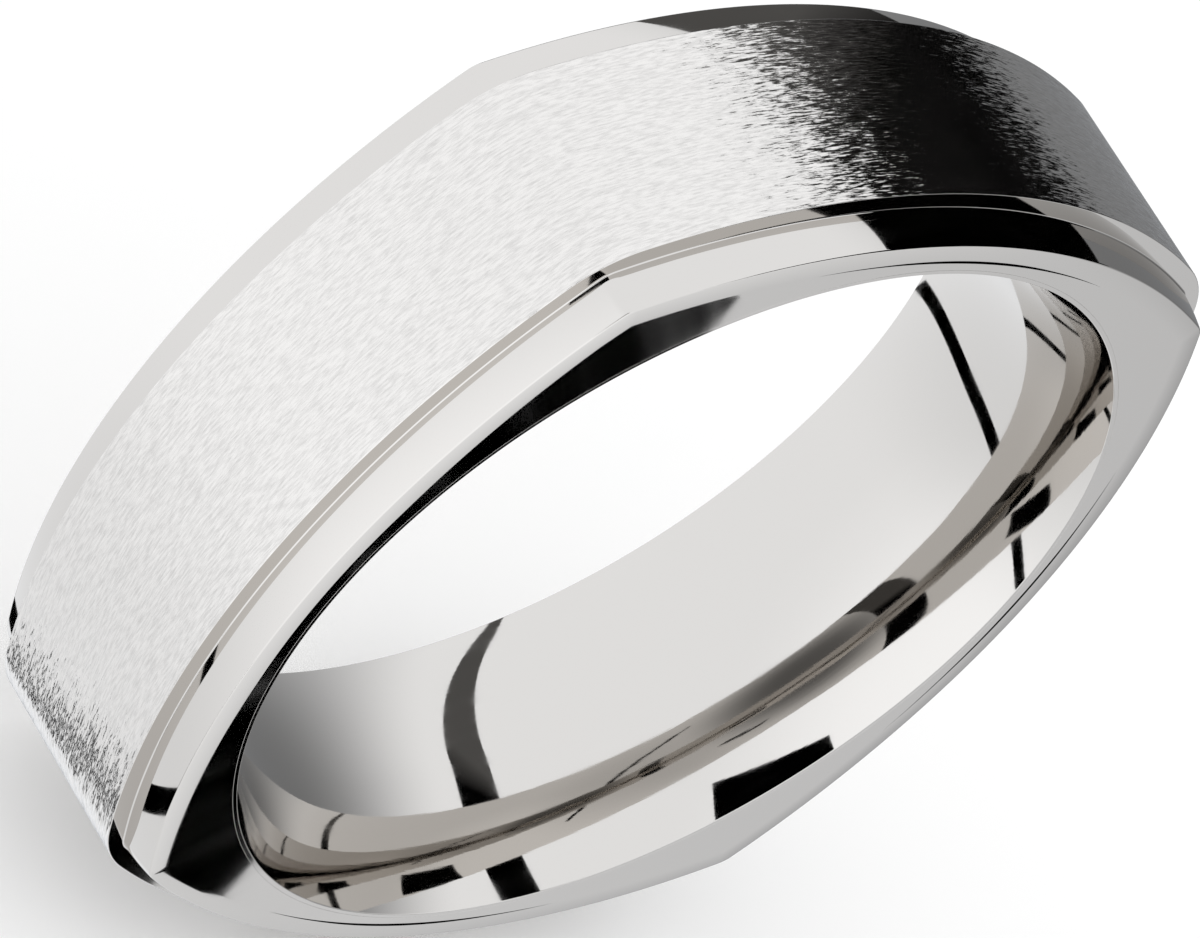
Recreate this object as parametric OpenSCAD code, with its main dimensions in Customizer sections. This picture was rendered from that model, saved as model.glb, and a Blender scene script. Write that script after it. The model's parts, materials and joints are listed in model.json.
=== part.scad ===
// A men's wedding band: round inside, a softened square outside.
// Four pieces: a comfort-fit liner, a raised centre band and two lower edge rings.
// The bore runs along Y, the ring stands on one flat, and the origin is its centre.

/* [Finger fit] */
// Inside diameter at the straight land in the middle of the bore
finger_d = 20.4; // [16:0.1:25]
// Length of the straight land along the bore
land_length = 0.8; // [0.4:0.1:2]
// Radius of the comfort-fit curve that opens the bore towards each end
comfort_r = 7.8; // [6.5:0.1:14]
// Width of the liner's flat lip around each mouth of the bore
lip = 0.12; // [0.1:0.01:0.3]

/* [Band] */
// Overall width from side face to side face
band_width = 7; // [5.8:0.1:8.6]
// Width of the raised centre band
centre_width = 5; // [3.5:0.1:6.1]
// Metal from the bore's land to the middle of a raised flat
wall = 2.1; // [1.75:0.05:3.2]
// Radius of the gentle arch across each of the four sides
side_arch_r = 19.3; // [16:0.1:26]
// Radius of the four corners of the raised centre band
centre_corner_r = 3; // [2.2:0.1:4]

/* [Edge rings] */
// Height of the centre band above the edge rings
step_height = 0.45; // [0.3:0.05:0.55]
// How far the shoulder falls between the step and the side face
shoulder_fall = 0.15; // [0.05:0.01:0.2]
// Radius of the four corners of the edge rings
edge_corner_r = 0.8; // [0.6:0.1:1.5]
// Radius that rolls the shoulder over into the side face
edge_roll_r = 0.15; // [0.05:0.01:0.25]

/* [Hidden] */

$fn = 96;
// Straight steps in each rolled edge
roll_steps = 4;
// Extra length that carries a cutting tool past the faces it cuts
overrun = 1;
// Degrees that a swept side or corner runs on past the wedge that trims it
past_wedge = 4;

land_r = finger_d / 2;
// The bore opens by this much between the land and the mouth
mouth_rise = comfort_r - sqrt(comfort_r ^ 2 - (band_width / 2 - land_length / 2) ^ 2);
seat_r = land_r + mouth_rise + lip;
centre_half = land_r + wall;
foot_half = centre_half - step_height;
foot_arch_r = side_arch_r - step_height;
shoulder_width = (band_width - centre_width) / 2;

// Distance from the ring's axis, along X and along Y, to the centre of a corner's arc
function corner_centre(half, arch_r, corner_r) =
    let (back = arch_r - half, reach = arch_r - corner_r)
    (sqrt(2 * reach ^ 2 - back ^ 2) - back) / 2;

// Half of the angle that one arched side covers about its own centre
function side_angle(half, arch_r, corner_r) =
    let (c = corner_centre(half, arch_r, corner_r))
    atan2(c, c + arch_r - half);

// The profile with x = 0 on the outline, kept to the outer side of the sweep's own axis
module profile_at(radius) {
    intersection() {
        translate([radius, 0])
            children();
        translate([0, -band_width])
            square([radius + overrun, 2 * band_width]);
    }
}

// One eighth of the softened square, from the middle of a side to the middle of a corner.
// The side and the corner sweep away from the plane that they share. They run past the
// wedge on every side, and so does the fill behind them, so that one cut trims them all.
module eighth(half, arch_r, corner_r, thickness) {
    turn = side_angle(half, arch_r, corner_r);
    fill = corner_centre(half, arch_r, corner_r) + corner_r / 4;
    intersection() {
        linear_extrude(thickness)
            polygon([[0, 0], [2 * half, 0], [2 * half, 2 * half]]);
        union() {
            translate([half - arch_r, 0, 0])
                rotate([0, 0, turn]) {
                    rotate_extrude(angle = turn + past_wedge, start = -turn - past_wedge)
                        profile_at(arch_r)
                            children();
                    translate([arch_r - corner_r, 0, 0])
                        rotate_extrude(angle = 45 - turn + past_wedge)
                            profile_at(corner_r)
                                children();
                }
            translate([0, -overrun, -overrun])
                cube([fill, fill + overrun, thickness + 2 * overrun]);
        }
    }
}

// Sweeps a profile once round the softened square and fills what lies behind it
module sweep_round(half, arch_r, corner_r, thickness) {
    for (quarter = [0:3])
        rotate([0, 0, 90 * quarter]) {
            eighth(half, arch_r, corner_r, thickness)
                children();
            mirror([0, 1, 0])
                eighth(half, arch_r, corner_r, thickness)
                    children();
        }
}

// The round hole that seats on the liner
module seat(thickness) {
    translate([0, 0, -overrun])
        cylinder(r = seat_r, h = thickness + 2 * overrun);
}

// Turns a piece that was built along Z so that its axis lies along Y
module along_y() {
    rotate([-90, 0, 0])
        children();
}

// Half of the liner's section, from the middle of the land to one mouth
module liner_half() {
    half_land = land_length / 2;
    square([seat_r, half_land]);
    intersection() {
        translate([0, half_land])
            square([seat_r, band_width / 2 - half_land]);
        translate([land_r + comfort_r, half_land])
            circle(r = comfort_r);
    }
}

module liner_section() {
    intersection() {
        translate([land_r, -band_width])
            square([seat_r - land_r, 2 * band_width]);
        union() {
            liner_half();
            mirror([0, 1])
                liner_half();
        }
    }
}

module comfort_fit_liner() {
    color("gainsboro")
        along_y()
            rotate_extrude()
                liner_section();
}

module centre_band() {
    depth = centre_half - corner_centre(centre_half, side_arch_r, centre_corner_r);
    color("silver")
        along_y()
            translate([0, 0, -centre_width / 2])
                difference() {
                    sweep_round(centre_half, side_arch_r, centre_corner_r, centre_width)
                        translate([-depth, -overrun])
                            square([depth, centre_width + 2 * overrun]);
                    seat(centre_width);
                }
}

// Section of an edge ring: the foot of the step at y = 0, the side face at shoulder_width
module edge_section(depth) {
    roll = [for (i = [0:roll_steps]) 90 * i / roll_steps];
    side_face_edge = -shoulder_fall - edge_roll_r;
    polygon(concat(
        [[-depth, -overrun], [0, -overrun], [0, 0]],
        [for (a = roll) [
            side_face_edge + edge_roll_r * cos(a),
            shoulder_width - edge_roll_r * (1 - sin(a))
        ]],
        [[side_face_edge, shoulder_width + overrun], [-depth, shoulder_width + overrun]]
    ));
}

// An edge ring on the +Z side of the centre band
module edge_ring() {
    depth = foot_half - corner_centre(foot_half, foot_arch_r, edge_corner_r);
    translate([0, 0, centre_width / 2])
        difference() {
            sweep_round(foot_half, foot_arch_r, edge_corner_r, shoulder_width)
                edge_section(depth);
            seat(shoulder_width);
        }
}

module edge_ring_front() {
    color("gainsboro")
        along_y()
            mirror([0, 0, 1])
                edge_ring();
}

module edge_ring_back() {
    color("gainsboro")
        along_y()
            edge_ring();
}

comfort_fit_liner();
centre_band();
edge_ring_front();
edge_ring_back();
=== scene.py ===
"""A men's wedding band with a satin centre, polished edge rings and a domed polished bore.

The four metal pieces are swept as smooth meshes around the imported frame, which gives the
main sizes. Lengths are in metres. The bore runs along Y and the band stands on one side.
"""
import json
import math
from collections import namedtuple

import bmesh
import bpy
from bpy.props import FloatProperty, FloatVectorProperty, IntProperty, PointerProperty
from mathutils import Matrix, Vector


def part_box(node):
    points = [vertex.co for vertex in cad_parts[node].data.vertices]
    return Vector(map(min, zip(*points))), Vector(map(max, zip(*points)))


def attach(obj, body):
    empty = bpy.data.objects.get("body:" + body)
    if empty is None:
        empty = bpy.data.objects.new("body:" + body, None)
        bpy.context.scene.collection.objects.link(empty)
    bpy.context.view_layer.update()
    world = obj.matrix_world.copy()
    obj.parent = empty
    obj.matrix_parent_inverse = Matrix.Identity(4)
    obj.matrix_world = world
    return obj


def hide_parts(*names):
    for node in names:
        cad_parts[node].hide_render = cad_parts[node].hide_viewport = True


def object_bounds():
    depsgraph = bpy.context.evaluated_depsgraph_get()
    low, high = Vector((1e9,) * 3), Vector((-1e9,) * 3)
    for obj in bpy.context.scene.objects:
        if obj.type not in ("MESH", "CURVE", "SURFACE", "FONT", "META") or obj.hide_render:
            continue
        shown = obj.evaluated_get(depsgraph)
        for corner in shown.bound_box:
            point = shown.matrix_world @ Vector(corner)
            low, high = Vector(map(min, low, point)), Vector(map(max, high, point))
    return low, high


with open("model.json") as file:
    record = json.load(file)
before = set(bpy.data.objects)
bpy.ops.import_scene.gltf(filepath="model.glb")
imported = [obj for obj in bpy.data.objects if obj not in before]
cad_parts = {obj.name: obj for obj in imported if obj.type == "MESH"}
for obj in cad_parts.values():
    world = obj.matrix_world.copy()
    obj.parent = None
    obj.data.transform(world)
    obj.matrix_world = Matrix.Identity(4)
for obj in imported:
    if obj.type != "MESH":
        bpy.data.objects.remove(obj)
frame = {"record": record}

bl_info = {
    "name": "Wedding Band",
    "version": (1, 0, 0),
    "blender": (4, 5, 0),
    "location": "3D View > Sidebar > Band",
    "description": "Builds a satin and polished wedding band around its packed frame",
    "category": "Object",
}

MM = 0.001

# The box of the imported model, and the sizes that it gives.
CAD_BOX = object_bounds()
CENTRE_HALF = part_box("centre_band")[1].z
CENTRE_EDGE_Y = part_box("centre_band")[1].y
FOOT_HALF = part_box("edge_ring_back")[1].z
SIDE_FACE_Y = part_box("edge_ring_back")[1].y
SEAT_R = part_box("comfort_fit_liner")[1].z
FINGER_BORE = next(m for m in frame["record"]["mounts"] if m["name"] == "finger_bore")
LAND_R = FINGER_BORE["dims"]["r_mm"] * MM


class BandSizes(bpy.types.PropertyGroup):
    """Sizes of the band that its box doesn't give."""

    side_arch_r: FloatProperty(
        name="Side arch", description="Radius of the arch across each raised side",
        default=19.3 * MM, unit="LENGTH", precision=5)
    centre_corner_r: FloatProperty(
        name="Centre corner", description="Corner radius of the raised centre band",
        default=3.0 * MM, unit="LENGTH", precision=5)
    edge_corner_r: FloatProperty(
        name="Edge corner", description="Corner radius of the edge rings at the foot of the step",
        default=0.8 * MM, unit="LENGTH", precision=5)
    shoulder_fall: FloatProperty(
        name="Shoulder fall", description="Drop of the shoulder from the step to its rolled edge",
        default=0.13 * MM, unit="LENGTH", precision=5)
    shoulder_lean: FloatProperty(
        name="Shoulder lean", description="Tilt of the shoulder where it leaves the step",
        default=math.radians(4), unit="ROTATION")
    shoulder_roll_r: FloatProperty(
        name="Shoulder roll", description="Radius of the rolled edge between shoulder and side face",
        default=0.045 * MM, unit="LENGTH", precision=6)
    foot_fillet_r: FloatProperty(
        name="Foot fillet", description="Radius of the fine line at the foot of the step",
        default=0.035 * MM, unit="LENGTH", precision=6)
    satin_edge_r: FloatProperty(
        name="Satin edge", description="Radius of the edge between the satin and the step wall",
        default=0.02 * MM, unit="LENGTH", precision=6)
    face_roll_width: FloatProperty(
        name="Side face roll", description="Width of the side face's softly rolled outer margin",
        default=0.5 * MM, unit="LENGTH", precision=5)
    face_roll_tilt: FloatProperty(
        name="Side face tilt", description="Tilt of the side face where it meets the shoulder",
        default=math.radians(6), unit="ROTATION")
    seam_r: FloatProperty(
        name="Seam", description="Radius of the broken edges along the seam round the mouth",
        default=0.005 * MM, unit="LENGTH", precision=6)
    lip: FloatProperty(
        name="Lip", description="Width of the liner's flat lip at each mouth of the bore",
        default=0.12 * MM, unit="LENGTH", precision=6)
    dome_power: FloatProperty(
        name="Dome power", description="How the bore's dome steepens towards its mouths, 2 is round",
        default=2.22)
    mouth_r: FloatProperty(
        name="Mouth edge", description="Radius of the edge between the lip and the comfort curve",
        default=0.025 * MM, unit="LENGTH", precision=6)
    side_steps: IntProperty(
        name="Side steps", description="Mesh steps along each arched side", default=112)
    corner_steps: IntProperty(
        name="Corner steps", description="Mesh steps round each corner", default=40)
    edge_steps: IntProperty(
        name="Edge steps", description="Mesh steps across each small radius", default=6)
    bore_steps: IntProperty(
        name="Bore steps", description="Mesh steps across each comfort curve", default=30)


class MetalFinish(bpy.types.PropertyGroup):
    """Colours and textures of the polished and satin metal."""

    polish_colour: FloatVectorProperty(
        name="Polish colour", description="Reflection colour of the polished metal",
        subtype="COLOR", size=3, default=(0.53, 0.505, 0.475))
    satin_colour: FloatVectorProperty(
        name="Satin colour", description="Reflection colour of the satin metal",
        subtype="COLOR", size=3, default=(0.60, 0.575, 0.545))
    satin_roughness: FloatProperty(
        name="Satin roughness", description="Mean roughness of the satin",
        default=0.10, subtype="FACTOR", min=0, max=1)
    stroke_depth: FloatProperty(
        name="Stroke depth", description="Depth of the satin's fine strokes",
        default=0.004 * MM, unit="LENGTH", precision=6)
    stroke_lean: FloatProperty(
        name="Stroke lean", description="How far single strokes lean along the band, as a slope",
        default=0.17)
    polish_roughness: FloatProperty(
        name="Polish roughness", description="Roughness of the mirror polish",
        default=0.035, subtype="FACTOR", min=0, max=1)


class BandStudio(bpy.types.PropertyGroup):
    """Camera, floor and soft white surroundings."""

    azimuth: FloatProperty(
        name="Azimuth", description="Camera's bearing round the band, 0 looks along +Y",
        default=math.radians(-58.46), unit="ROTATION")
    elevation: FloatProperty(
        name="Elevation", description="Camera's height above the horizon",
        default=math.radians(30.93), unit="ROTATION")
    roll: FloatProperty(
        name="Roll", description="Camera's turn about its line of sight",
        default=math.radians(40.75), unit="ROTATION")
    distance: FloatProperty(
        name="Distance", description="From the camera to the band's centre",
        default=233.2 * MM, unit="LENGTH")
    lens: FloatProperty(
        name="Lens", description="Focal length on a sensor 36 mm wide", default=318.5)
    aim_right: FloatProperty(
        name="Aim right", description="How far the band's centre lies right of the picture's",
        default=0.11 * MM, unit="LENGTH", precision=5)
    aim_down: FloatProperty(
        name="Aim down", description="How far the band's centre lies below the picture's",
        default=0.24 * MM, unit="LENGTH", precision=5)
    floor_radius: FloatProperty(
        name="Floor radius", description="Radius of the round floor", default=2.0, unit="LENGTH")
    surround: FloatProperty(
        name="Surround", description="Brightness of the white surroundings", default=1.12)


# ---------------------------------------------------------------- outlines and sweeps

# A place on an outline: point and outward direction in the XZ plane, and distance along.
Station = namedtuple("Station", "x z nx nz along")

# One line of the mesh that runs right round the band. It lies at an offset outside the
# outline, or at a radius about the axis, or between the two; out and across are the
# surface normal's parts outwards and along the bore.
Rail = namedtuple("Rail", "blend offset radius y out across")


def on_outline(offset, y, out, across):
    return Rail(0.0, offset, 0.0, y, out, across)


def on_circle(radius, y, out, across):
    return Rail(1.0, 0.0, radius, y, out, across)


def square_stations(half, arch_r, corner_r, sizes):
    """Stations round a softened square: four arched sides joined by four corner arcs."""
    back = arch_r - half
    reach = arch_r - corner_r
    corner = (math.sqrt(2 * reach ** 2 - back ** 2) - back) / 2
    turn = math.atan2(corner, corner + back)
    arcs = (
        ((half - arch_r, 0.0), arch_r, -turn, turn, sizes.side_steps),
        ((corner, corner), corner_r, turn, math.pi / 2 - turn, sizes.corner_steps),
    )
    stations = []
    along = 0.0
    for quarter in range(4):
        lean = quarter * math.pi / 2
        cos_q, sin_q = math.cos(lean), math.sin(lean)
        for (cx, cz), radius, first, last, steps in arcs:
            step = (last - first) / steps
            for i in range(steps):
                angle = first + i * step + lean
                nx, nz = math.cos(angle), math.sin(angle)
                x = cx * cos_q - cz * sin_q + radius * nx
                z = cx * sin_q + cz * cos_q + radius * nz
                stations.append(Station(x, z, nx, nz, along))
                along += radius * step
    return stations, along


def circle_stations(radius, steps):
    """Stations round a circle about the bore's axis."""
    step = 2 * math.pi / steps
    stations = []
    for i in range(steps):
        nx, nz = math.cos(i * step), math.sin(i * step)
        stations.append(Station(radius * nx, radius * nz, nx, nz, radius * i * step))
    return stations, 2 * math.pi * radius


def rail_point(rail, station):
    """Point and normal where a rail crosses a station."""
    radial = Vector((station.x, 0, station.z)).normalized()
    outward = Vector((station.nx, 0, station.nz))
    point = Vector((station.x, 0, station.z)) + outward * rail.offset
    point = point.lerp(radial * rail.radius, rail.blend)
    point.y = rail.y
    direction = outward.lerp(radial, rail.blend).normalized()
    normal = (direction * rail.out + Vector((0, rail.across, 0))).normalized()
    return point, normal


def arc_rails(centre, radius, first, last, steps, hollow=False):
    """Rails along an arc in the offset and Y plane. A hollow arc's surface faces its centre."""
    side = -1 if hollow else 1
    rails = []
    for i in range(steps + 1):
        angle = math.radians(first + (last - first) * i / steps)
        out, across = math.cos(angle), math.sin(angle)
        rails.append(on_outline(
            centre[0] + radius * out, centre[1] + radius * across, side * out, side * across))
    return rails


def mirrored(rails):
    """The same rails on the other side of the band, in the order that keeps the loop going."""
    return [r._replace(y=-r.y, across=-r.across) for r in reversed(rails)]


def sweep(name, stations, length, rails, finishes):
    """Sweeps a closed loop of rails round the stations as one smooth closed mesh.

    finishes holds one material and the rails' count that it covers, in order.
    """
    bm = bmesh.new()
    normals = []
    wraps = []
    wrap_r = length / (2 * math.pi)
    grid = []
    for station in stations:
        turn = 2 * math.pi * station.along / length
        row = []
        for rail in rails:
            point, normal = rail_point(rail, station)
            row.append(bm.verts.new(point))
            normals.append(normal)
            wraps.append((wrap_r * math.cos(turn), wrap_r * math.sin(turn), rail.y))
        grid.append(row)
    slots = [i for i, (_, count) in enumerate(finishes) for _ in range(count)]
    for i, row in enumerate(grid):
        following = grid[(i + 1) % len(grid)]
        for j in range(len(rails)):
            k = (j + 1) % len(rails)
            face = bm.faces.new((row[j], row[k], following[k], following[j]))
            face.material_index = slots[j]
            face.smooth = True
    if bm.calc_volume(signed=True) < 0:
        bmesh.ops.reverse_faces(bm, faces=bm.faces)
    mesh = bpy.data.meshes.new(name)
    bm.to_mesh(mesh)
    bm.free()
    wrap = mesh.attributes.new("wrap", "FLOAT_VECTOR", "POINT")
    wrap.data.foreach_set("vector", [c for w in wraps for c in w])
    for material, _ in finishes:
        mesh.materials.append(material)
    mesh.normals_split_custom_set_from_vertices(normals)
    piece = bpy.data.objects.new(name, mesh)
    bpy.context.scene.collection.objects.link(piece)
    return piece


# ---------------------------------------------------------------- materials

# Noise cells per metre: twice the same along the band, then across it. More across than
# along gives streaks that run round the band.
BUFF_LINES = (900, 900, 14000)
BUFF_HAZE = (700, 700, 2500)
SATIN_STROKES = (3000, 3000, 24000)
SATIN_LEANS = (2300, 2300, 21000)
SATIN_CLOUDS = (500, 500, 900)

BUFF_DEPTH = 0.002 * MM
BORE_BUFFING = 0.10
EDGE_BUFFING = 0.05

# The satin colour's share in the darkest and lightest strokes.
STROKE_DARK = 0.84
STROKE_LIGHT = 1.06


def new_material(name):
    """A node material and its main shader."""
    material = bpy.data.materials.new(name)
    material.use_nodes = True
    return material, material.node_tree.nodes["Principled BSDF"]


def wrapped_noise(tree, scale, detail=2.0, roughness=0.5):
    """Noise on the band's unrolled surface, stretched by scale along and across the band."""
    place = tree.nodes.new("ShaderNodeAttribute")
    place.attribute_name = "wrap"
    stretch = tree.nodes.new("ShaderNodeMapping")
    stretch.inputs["Scale"].default_value = scale
    noise = tree.nodes.new("ShaderNodeTexNoise")
    noise.inputs["Scale"].default_value = 1.0
    noise.inputs["Detail"].default_value = detail
    noise.inputs["Roughness"].default_value = roughness
    tree.links.new(place.outputs["Vector"], stretch.inputs["Vector"])
    tree.links.new(stretch.outputs["Vector"], noise.inputs["Vector"])
    return noise.outputs["Fac"]


def remap(tree, value, low, high, to_low, to_high):
    """Takes a value from one range to another and holds it there."""
    node = tree.nodes.new("ShaderNodeMapRange")
    node.inputs["From Min"].default_value = low
    node.inputs["From Max"].default_value = high
    node.inputs["To Min"].default_value = to_low
    node.inputs["To Max"].default_value = to_high
    tree.links.new(value, node.inputs["Value"])
    return node.outputs["Result"]


def polished_metal(name, finish, buff_strength):
    """Mirror polish with the faint lines that a buffing wheel leaves round the band."""
    material, shader = new_material(name)
    tree = material.node_tree
    shader.inputs["Base Color"].default_value = (*finish.polish_colour, 1)
    shader.inputs["Metallic"].default_value = 1.0
    lines = wrapped_noise(tree, BUFF_LINES, detail=3.0)
    haze = wrapped_noise(tree, BUFF_HAZE, detail=2.0)
    tree.links.new(
        remap(tree, haze, 0.35, 0.7, finish.polish_roughness * 0.7, finish.polish_roughness * 1.6),
        shader.inputs["Roughness"])
    bump = tree.nodes.new("ShaderNodeBump")
    bump.inputs["Strength"].default_value = buff_strength
    bump.inputs["Distance"].default_value = BUFF_DEPTH
    tree.links.new(lines, bump.inputs["Height"])
    tree.links.new(bump.outputs["Normal"], shader.inputs["Normal"])
    return material


def leaning_normal(tree, streaks, lean):
    """Surface normal that leans forward or back along the band by each streak's own amount."""
    geometry = tree.nodes.new("ShaderNodeNewGeometry")
    along = tree.nodes.new("ShaderNodeVectorMath")
    along.operation = "CROSS_PRODUCT"
    along.inputs[1].default_value = (0, 1, 0)
    tree.links.new(geometry.outputs["Normal"], along.inputs[0])
    push = tree.nodes.new("ShaderNodeVectorMath")
    push.operation = "SCALE"
    tree.links.new(along.outputs["Vector"], push.inputs["Vector"])
    tree.links.new(remap(tree, streaks, 0.25, 0.75, -lean, lean), push.inputs["Scale"])
    total = tree.nodes.new("ShaderNodeVectorMath")
    total.operation = "ADD"
    tree.links.new(geometry.outputs["Normal"], total.inputs[0])
    tree.links.new(push.outputs["Vector"], total.inputs[1])
    unit = tree.nodes.new("ShaderNodeVectorMath")
    unit.operation = "NORMALIZE"
    tree.links.new(total.outputs["Vector"], unit.inputs[0])
    return unit.outputs["Vector"]


def satin_metal(name, finish):
    """Satin made of short fine strokes along the band."""
    material, shader = new_material(name)
    tree = material.node_tree
    shader.inputs["Metallic"].default_value = 1.0
    strokes = wrapped_noise(tree, SATIN_STROKES, detail=3.0, roughness=0.6)
    leans = wrapped_noise(tree, SATIN_LEANS, detail=3.0, roughness=0.7)
    clouds = wrapped_noise(tree, SATIN_CLOUDS, detail=3.0)
    colour = tree.nodes.new("ShaderNodeMix")
    colour.data_type = "RGBA"
    dark = [c * STROKE_DARK for c in finish.satin_colour]
    light = [min(1.0, c * STROKE_LIGHT) for c in finish.satin_colour]
    socket(colour.inputs, "A", "RGBA").default_value = (*dark, 1)
    socket(colour.inputs, "B", "RGBA").default_value = (*light, 1)
    tree.links.new(remap(tree, strokes, 0.3, 0.6, 0, 1), colour.inputs["Factor"])
    tree.links.new(socket(colour.outputs, "Result", "RGBA"), shader.inputs["Base Color"])
    tree.links.new(
        remap(tree, clouds, 0.3, 0.7, finish.satin_roughness - 0.02, finish.satin_roughness + 0.03),
        shader.inputs["Roughness"])
    bump = tree.nodes.new("ShaderNodeBump")
    bump.inputs["Distance"].default_value = finish.stroke_depth
    tree.links.new(strokes, bump.inputs["Height"])
    tree.links.new(leaning_normal(tree, leans, finish.stroke_lean), bump.inputs["Normal"])
    tree.links.new(bump.outputs["Normal"], shader.inputs["Normal"])
    return material


def shared_material(key, maker):
    """The material of this name, made once."""
    return bpy.data.materials.get(key) or maker(key)


# ---------------------------------------------------------------- pieces

def liner_rails(sizes):
    """Half of the liner's section, from its seat round one mouth to the middle of the bore."""
    mouth_radius = SEAT_R - sizes.lip
    rise = mouth_radius - LAND_R
    power = sizes.dome_power
    seam, edge, steps = sizes.seam_r, sizes.mouth_r, sizes.edge_steps
    rails = arc_rails((-seam, SIDE_FACE_Y - seam), seam, 0, 90, steps)
    mouth_tilt = math.degrees(math.atan(rise * power / SIDE_FACE_Y))
    edge_x = mouth_radius - SEAT_R + edge
    rails += arc_rails((edge_x, SIDE_FACE_Y - edge), edge, 90, 180 - mouth_tilt, steps)
    last = rails[-1]
    for i in range(1, sizes.bore_steps + 1):
        y = last.y * (1 - i / sizes.bore_steps)
        share = y / SIDE_FACE_Y
        slope = rise * power / SIDE_FACE_Y * share ** (power - 1)
        gap = (last.offset + SEAT_R - LAND_R) / (rise * (last.y / SIDE_FACE_Y) ** power)
        radius = LAND_R + rise * gap * share ** power
        rails.append(on_outline(radius - SEAT_R, y, -1, slope * gap))
    return rails


def centre_rails(sizes):
    """Half of the centre band's section, from the middle of the satin to its seat."""
    edge, steps = sizes.satin_edge_r, sizes.edge_steps
    satin = [on_outline(0, CENTRE_EDGE_Y * t, 1, 0) for t in (0.25, 0.5, 0.75, 0.95)]
    turn = arc_rails((-edge, CENTRE_EDGE_Y - edge), edge, 0, 90, steps)
    wall = [
        on_outline(FOOT_HALF - CENTRE_HALF, CENTRE_EDGE_Y, 0, 1),
        on_circle(SEAT_R, CENTRE_EDGE_Y, 0, 1),
    ]
    return satin, turn, wall


def edge_ring_rails(sizes):
    """An edge ring's section, from the foot of the step over the shoulder to its seat."""
    fillet, roll, steps = sizes.foot_fillet_r, sizes.shoulder_roll_r, sizes.edge_steps
    lean = math.degrees(sizes.shoulder_lean)
    foot_y = CENTRE_EDGE_Y
    rails = arc_rails((fillet, foot_y + fillet), fillet, 270, 180 + lean, steps, hollow=True)
    start = rails[-1]
    drop = sizes.face_roll_width * sizes.face_roll_tilt / 2
    width = SIDE_FACE_Y - drop - roll - start.y
    mean_slope = sizes.shoulder_fall / width
    end_lean = 2 * math.degrees(math.atan(mean_slope)) - lean
    crown_steps = 12
    x, y = start.offset, start.y
    for i in range(1, crown_steps + 1):
        slope = math.radians(lean + (end_lean - lean) * (i - 0.5) / crown_steps)
        tilt = math.radians(lean + (end_lean - lean) * i / crown_steps)
        x -= math.tan(slope) * width / crown_steps
        y += width / crown_steps
        rails.append(on_outline(x, y, math.cos(tilt), math.sin(tilt)))
    centre = (x - roll * math.cos(math.radians(end_lean)),
              y - roll * math.sin(math.radians(end_lean)))
    tilt = math.degrees(sizes.face_roll_tilt)
    rails += arc_rails(centre, roll, end_lean, 90 - tilt, steps)[1:]
    shift = SIDE_FACE_Y - drop - rails[-1].y
    rails = [r._replace(y=r.y + shift * (r.y - foot_y) / (rails[-1].y - foot_y)) for r in rails]
    rails += face_rails(rails[-1], sizes)
    rails += [on_circle(SEAT_R, foot_y, 0, -1)]
    return rails


def face_rails(outer, sizes):
    """The side face: a softly rolled margin, then flat to the seam round the liner."""
    seam, roll_steps, flat_steps = sizes.seam_r, 12, 6
    inner_r = SEAT_R + seam
    width, tilt = sizes.face_roll_width, sizes.face_roll_tilt
    rails = []
    for i in range(1, roll_steps + 1):
        t = i / roll_steps
        angle = tilt * (1 - t)
        rails.append(on_outline(
            outer.offset - width * t, outer.y + width * tilt * (t - t * t / 2),
            math.sin(angle), math.cos(angle)))
    margin = rails[-1]
    for i in range(1, flat_steps + 1):
        t = i / flat_steps
        rails.append(Rail(t, margin.offset * (1 - t), inner_r, margin.y, 0, 1))
    for i in range(1, sizes.edge_steps + 1):
        angle = math.radians(90 + 90 * i / sizes.edge_steps)
        out, across = math.cos(angle), math.sin(angle)
        rails.append(on_circle(
            inner_r + seam * out, margin.y - seam + seam * across, out, across))
    return rails


class BAND_OT_liner(bpy.types.Operator):
    """Build the domed comfort-fit liner"""

    bl_idname = "band.liner"
    bl_label = "Comfort-fit Liner"

    def execute(self, context):
        scene = context.scene
        sizes = scene.band_sizes
        polish = shared_material(
            "buffed_bore", lambda key: polished_metal(key, scene.band_finish, BORE_BUFFING))
        half = liner_rails(sizes)
        around = 4 * (sizes.side_steps + sizes.corner_steps)
        stations, length = circle_stations(SEAT_R, around)
        rails = half + mirrored(half[:-1])
        piece = sweep("liner", stations, length, rails, [(polish, len(rails))])
        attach(piece, "root")
        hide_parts("comfort_fit_liner")
        return {"FINISHED"}


class BAND_OT_centre(bpy.types.Operator):
    """Build the raised satin centre band"""

    bl_idname = "band.centre"
    bl_label = "Satin Centre Band"

    def execute(self, context):
        scene = context.scene
        sizes = scene.band_sizes
        satin = shared_material("satin_strokes", lambda key: satin_metal(key, scene.band_finish))
        polish = shared_material(
            "polished_edge", lambda key: polished_metal(key, scene.band_finish, EDGE_BUFFING))
        flat, turn, wall = centre_rails(sizes)
        half = flat + turn + wall
        middle = [on_outline(0, 0, 1, 0)]
        rails = middle + half + mirrored(half)
        satin_count = 1 + len(flat) + len(turn) // 2
        polished_count = len(rails) - 2 * satin_count
        stations, length = square_stations(
            CENTRE_HALF, sizes.side_arch_r, sizes.centre_corner_r, sizes)
        finishes = [(satin, satin_count), (polish, polished_count), (satin, satin_count)]
        piece = sweep("satin_centre", stations, length, rails, finishes)
        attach(piece, "root")
        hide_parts("centre_band")
        return {"FINISHED"}


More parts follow.
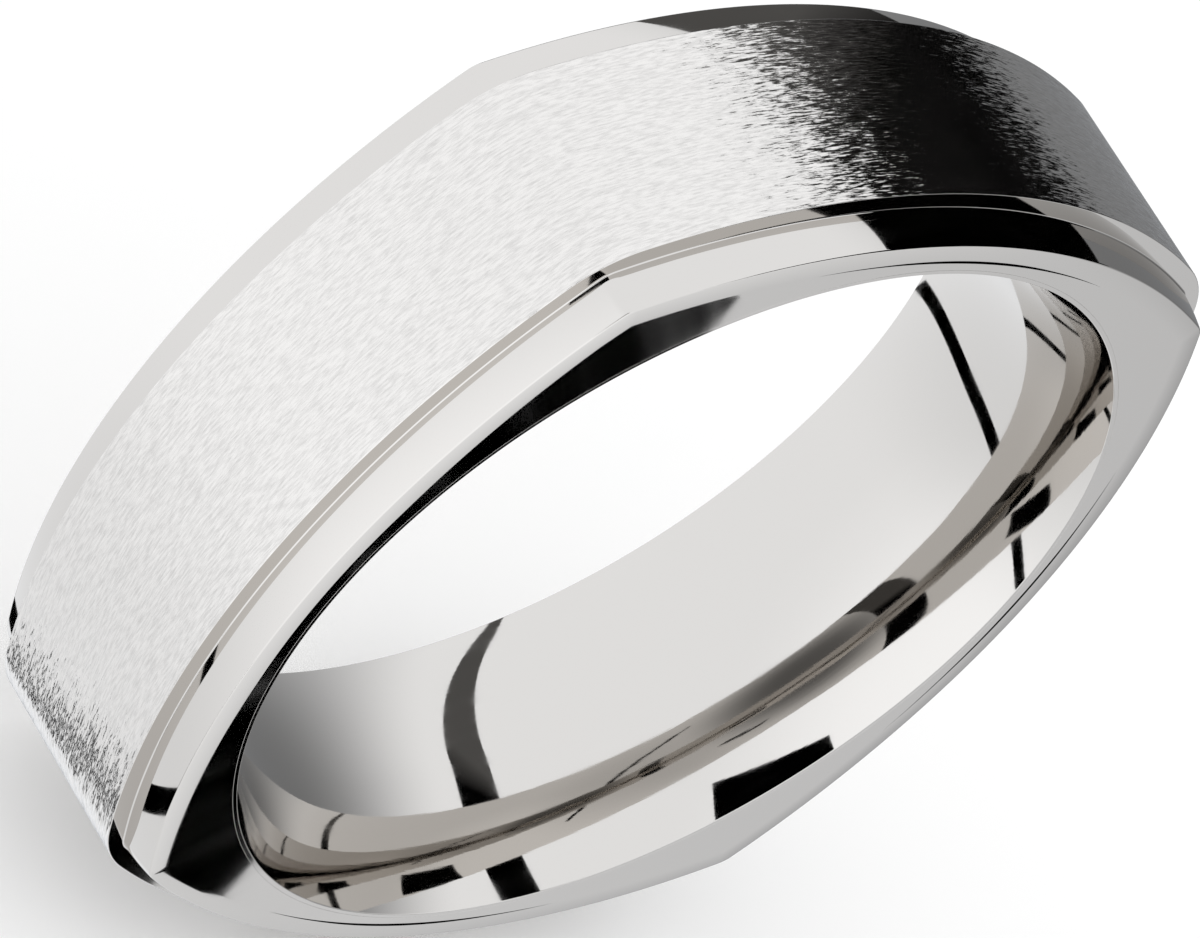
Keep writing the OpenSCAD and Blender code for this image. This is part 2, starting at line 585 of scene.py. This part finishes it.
class BAND_OT_edge_rings(bpy.types.Operator):
    """Build the two polished edge rings"""

    bl_idname = "band.edge_rings"
    bl_label = "Polished Edge Rings"

    def execute(self, context):
        scene = context.scene
        sizes = scene.band_sizes
        polish = shared_material(
            "polished_edge", lambda key: polished_metal(key, scene.band_finish, EDGE_BUFFING))
        step = CENTRE_HALF - FOOT_HALF
        stations, length = square_stations(
            FOOT_HALF, sizes.side_arch_r - step, sizes.edge_corner_r, sizes)
        back = edge_ring_rails(sizes)
        for name, node, rails in (
            ("polished_edge_back", "edge_ring_back", back),
            ("polished_edge_front", "edge_ring_front", mirrored(back)),
        ):
            piece = sweep(name, stations, length, rails, [(polish, len(rails))])
            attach(piece, "root")
            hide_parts(node)
        return {"FINISHED"}


# ---------------------------------------------------------------- stage

# A soft round patch of the surroundings as (azimuth, elevation, inner and outer half angle
# in degrees, colour), where the colour multiplies what is there.
Patch = namedtuple("Patch", "azimuth elevation inner outer colour")

# The tent's own brightness as the metal sees it, slightly cool.
TENT_COLOUR = (1.38, 1.425, 1.49)

PATCHES = (
    Patch(12, -2, 5, 66, (0.175, 0.175, 0.175)),
    Patch(-140, -14, 15, 75, (1.22, 1.22, 1.22)),
    Patch(-90, -90, 10, 70, (0.84, 0.84, 0.84)),
)

# A black card near the band: its middle and two half sides in millimetres, and how bright
# its cloth gets beyond the band's far side.
Card = namedtuple("Card", "name middle half_a half_b far_glow")

CARDS = (
    Card("card_above", (11.5, 20, 24), (0, 60, 0), (0, 0, 10.5), 0.12),
    Card("card_side", (34, -30.5, -33.5), (3.5, 0, 0), (0, 0, 14), 0),
    Card("card_camera", (-83, -53, 70), (10, -22, 0), (16, 7, 27), 0.01),
    Card("card_strip", (-11.5, 9.5, -31), (-25.5, -30.5, 0), (-0.8, 0.7, 0.6), 0),
)

# Where along the bore a card's cloth starts to brighten, and where it is brightest.
GLOW_FROM_Y = 9 * MM
GLOW_TO_Y = 15 * MM

FLOOR_WHITE = (0.93, 0.93, 0.93, 1)


def heading(azimuth, elevation):
    """Direction as a vector, from angles in degrees. Azimuth is from +X towards +Y."""
    azimuth, elevation = math.radians(azimuth), math.radians(elevation)
    return Vector((
        math.cos(azimuth) * math.cos(elevation),
        math.sin(azimuth) * math.cos(elevation),
        math.sin(elevation)))


def patch_colour(tree, direction, patch):
    """White outside a patch and the patch's colour inside it, with a smooth edge."""
    facing = tree.nodes.new("ShaderNodeVectorMath")
    facing.operation = "DOT_PRODUCT"
    facing.inputs[1].default_value = heading(patch.azimuth, patch.elevation)
    tree.links.new(direction, facing.inputs[0])
    fade = tree.nodes.new("ShaderNodeMapRange")
    fade.interpolation_type = "SMOOTHSTEP"
    fade.inputs["From Min"].default_value = math.cos(math.radians(patch.outer))
    fade.inputs["From Max"].default_value = math.cos(math.radians(patch.inner))
    tree.links.new(facing.outputs["Value"], fade.inputs["Value"])
    colour = tree.nodes.new("ShaderNodeMix")
    colour.data_type = "RGBA"
    socket(colour.inputs, "A", "RGBA").default_value = (1, 1, 1, 1)
    socket(colour.inputs, "B", "RGBA").default_value = (*patch.colour, 1)
    tree.links.new(fade.outputs["Result"], colour.inputs["Factor"])
    return socket(colour.outputs, "Result", "RGBA")


def socket(sockets, name, kind):
    """The socket of a mix node that has this name and kind."""
    return next(s for s in sockets if s.name == name and s.type == kind)


def white_surroundings(studio):
    """A soft white tent, plain to the eye, with the brighter and darker sides that the metal sees."""
    world = bpy.data.worlds.new("tent")
    world.use_nodes = True
    tree = world.node_tree
    background = tree.nodes["Background"]
    place = tree.nodes.new("ShaderNodeTexCoord")
    light = None
    for patch in PATCHES:
        product = tree.nodes.new("ShaderNodeVectorMath")
        product.operation = "MULTIPLY"
        product.inputs[0].default_value = TENT_COLOUR
        if light is not None:
            tree.links.new(light, product.inputs[0])
        colour = patch_colour(tree, place.outputs["Generated"], patch)
        tree.links.new(colour, product.inputs[1])
        light = product.outputs[0]
    rays = tree.nodes.new("ShaderNodeLightPath")
    plain = tree.nodes.new("ShaderNodeMix")
    plain.data_type = "RGBA"
    socket(plain.inputs, "A", "RGBA").default_value = (studio.surround,) * 3 + (1,)
    tree.links.new(rays.outputs["Is Glossy Ray"], plain.inputs["Factor"])
    tree.links.new(light, socket(plain.inputs, "B", "RGBA"))
    tree.links.new(socket(plain.outputs, "Result", "RGBA"), background.inputs["Color"])
    bpy.context.scene.world = world


def card_cloth(card):
    """Black cloth that gives off no light, or only a little beyond the band's far side."""
    material = bpy.data.materials.new(card.name + "_cloth")
    material.use_nodes = True
    tree = material.node_tree
    tree.nodes.clear()
    output = tree.nodes.new("ShaderNodeOutputMaterial")
    glow = tree.nodes.new("ShaderNodeEmission")
    place = tree.nodes.new("ShaderNodeTexCoord")
    split = tree.nodes.new("ShaderNodeSeparateXYZ")
    tree.links.new(place.outputs["Object"], split.inputs["Vector"])
    tree.links.new(
        remap(tree, split.outputs["Y"], GLOW_FROM_Y, GLOW_TO_Y, 0, card.far_glow),
        glow.inputs["Strength"])
    tree.links.new(glow.outputs["Emission"], output.inputs["Surface"])
    return material


def hang_card(card):
    """A flat card close to the band that only the metal sees."""
    middle, half_a, half_b = (Vector(v) * MM for v in card[1:4])
    bm = bmesh.new()
    corners = [middle + half_a * a + half_b * b for a, b in ((-1, -1), (1, -1), (1, 1), (-1, 1))]
    bm.faces.new([bm.verts.new(corner) for corner in corners])
    mesh = bpy.data.meshes.new(card.name)
    bm.to_mesh(mesh)
    bm.free()
    mesh.materials.append(card_cloth(card))
    piece = bpy.data.objects.new(card.name, mesh)
    bpy.context.scene.collection.objects.link(piece)
    piece.visible_camera = False
    piece.visible_diffuse = False
    piece.visible_shadow = False


def lay_floor(studio):
    """A round pale floor under the band, which the metal doesn't mirror."""
    bm = bmesh.new()
    bmesh.ops.create_circle(bm, cap_ends=True, segments=96, radius=studio.floor_radius)
    mesh = bpy.data.meshes.new("floor")
    bm.to_mesh(mesh)
    bm.free()
    floor = bpy.data.objects.new("floor", mesh)
    floor.location.z = CAD_BOX[0].z
    bpy.context.scene.collection.objects.link(floor)
    floor.visible_glossy = False
    material, shader = new_material("floor_paper")
    shader.inputs["Base Color"].default_value = FLOOR_WHITE
    shader.inputs["Roughness"].default_value = 0.9
    shader.inputs["Specular IOR Level"].default_value = 0.0
    mesh.materials.append(material)


def place_camera(studio):
    """A long lens that looks at the band from the near side, above and to the left."""
    azimuth, elevation = studio.azimuth, studio.elevation
    back = Vector((
        math.sin(azimuth) * math.cos(elevation),
        -math.cos(azimuth) * math.cos(elevation),
        math.sin(elevation)))
    level = Vector((math.cos(azimuth), math.sin(azimuth), 0))
    right = Matrix.Rotation(studio.roll, 3, back) @ level
    up = back.cross(right)
    data = bpy.data.cameras.new("camera")
    data.lens = studio.lens
    data.clip_start = studio.distance * 0.05
    data.clip_end = studio.floor_radius * 4
    camera = bpy.data.objects.new("camera", data)
    camera.matrix_world = Matrix((
        (right.x, up.x, back.x, 0), (right.y, up.y, back.y, 0), (right.z, up.z, back.z, 0),
        (0, 0, 0, 1)))
    camera.location = back * studio.distance - right * studio.aim_right + up * studio.aim_down
    bpy.context.scene.collection.objects.link(camera)
    bpy.context.scene.camera = camera


class BAND_OT_stage(bpy.types.Operator):
    """Set the floor, the white surroundings and the camera"""

    bl_idname = "band.stage"
    bl_label = "Stage"

    def execute(self, context):
        studio = context.scene.band_studio
        white_surroundings(studio)
        lay_floor(studio)
        for card in CARDS:
            hang_card(card)
        place_camera(studio)
        context.scene.view_settings.view_transform = "Standard"
        return {"FINISHED"}


class BAND_PT_build(bpy.types.Panel):
    """Lists the band's sizes and finishes and the operators that build it"""

    bl_label = "Wedding Band"
    bl_idname = "BAND_PT_build"
    bl_space_type = "VIEW_3D"
    bl_region_type = "UI"
    bl_category = "Band"

    def draw(self, context):
        scene = context.scene
        for title, group in (
            ("Sizes", scene.band_sizes),
            ("Finish", scene.band_finish),
            ("Studio", scene.band_studio),
        ):
            box = self.layout.box()
            box.label(text=title)
            for name in group.__annotations__:
                box.prop(group, name)
        for operator in STEPS:
            self.layout.operator(operator.bl_idname)


GROUPS = (BandSizes, MetalFinish, BandStudio)
STEPS = (BAND_OT_liner, BAND_OT_centre, BAND_OT_edge_rings, BAND_OT_stage)
CLASSES = GROUPS + STEPS + (BAND_PT_build,)


def register():
    for cls in CLASSES:
        bpy.utils.register_class(cls)
    bpy.types.Scene.band_sizes = PointerProperty(type=BandSizes)
    bpy.types.Scene.band_finish = PointerProperty(type=MetalFinish)
    bpy.types.Scene.band_studio = PointerProperty(type=BandStudio)


def unregister():
    del bpy.types.Scene.band_studio
    del bpy.types.Scene.band_finish
    del bpy.types.Scene.band_sizes
    for cls in reversed(CLASSES):
        bpy.utils.unregister_class(cls)


def main():
    register()
    bpy.ops.band.liner()
    bpy.ops.band.centre()
    bpy.ops.band.edge_rings()
    bpy.ops.band.stage()


if __name__ == "__main__":
    main()
